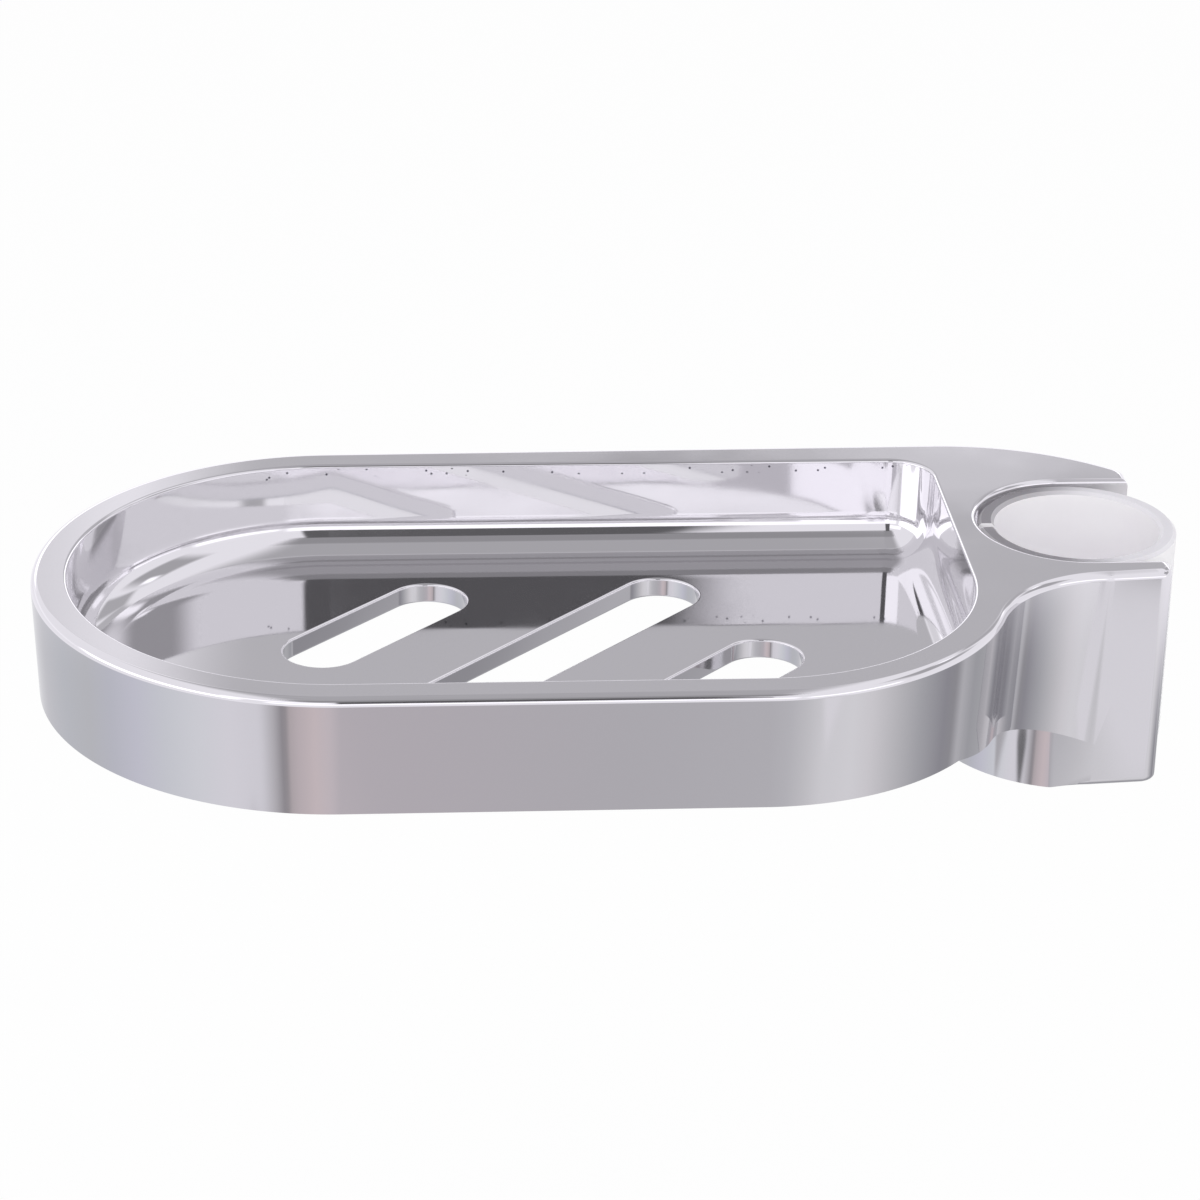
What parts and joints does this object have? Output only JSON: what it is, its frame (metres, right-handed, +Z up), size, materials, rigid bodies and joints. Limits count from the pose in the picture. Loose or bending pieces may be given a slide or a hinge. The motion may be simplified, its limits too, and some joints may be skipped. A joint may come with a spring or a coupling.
{
  "type": "shower rail soap dish",
  "caption": "Oblong chrome-plated soap dish with slanted drain slots, and a side clip that grips a split plastic sleeve on a shower rail.",
  "frame": {"origin": "on the rail's axis, level with the clip's lower face", "axes": "+Z up along the rail; -X from the rail along the dish; +X out of the clip's mouth; +Y towards the dish's straight far side"},
  "size_m": [0.1384, 0.072, 0.0284],
  "materials": {
    "chrome_plating": "bright chrome plating over moulded ABS",
    "sleeve_plastic": "milky translucent plastic, satin"
  },
  "bodies": {
    "dish": {"dish_body": "chrome_plating"},
    "sleeve": {"rail_sleeve": "sleeve_plastic"}
  },
  "joints": [
    {"name": "sleeve_slide", "type": "slide", "parent": "dish", "child": "sleeve", "axis": [1, 0, 0], "range_m": [0, 0.03]}
  ]
}
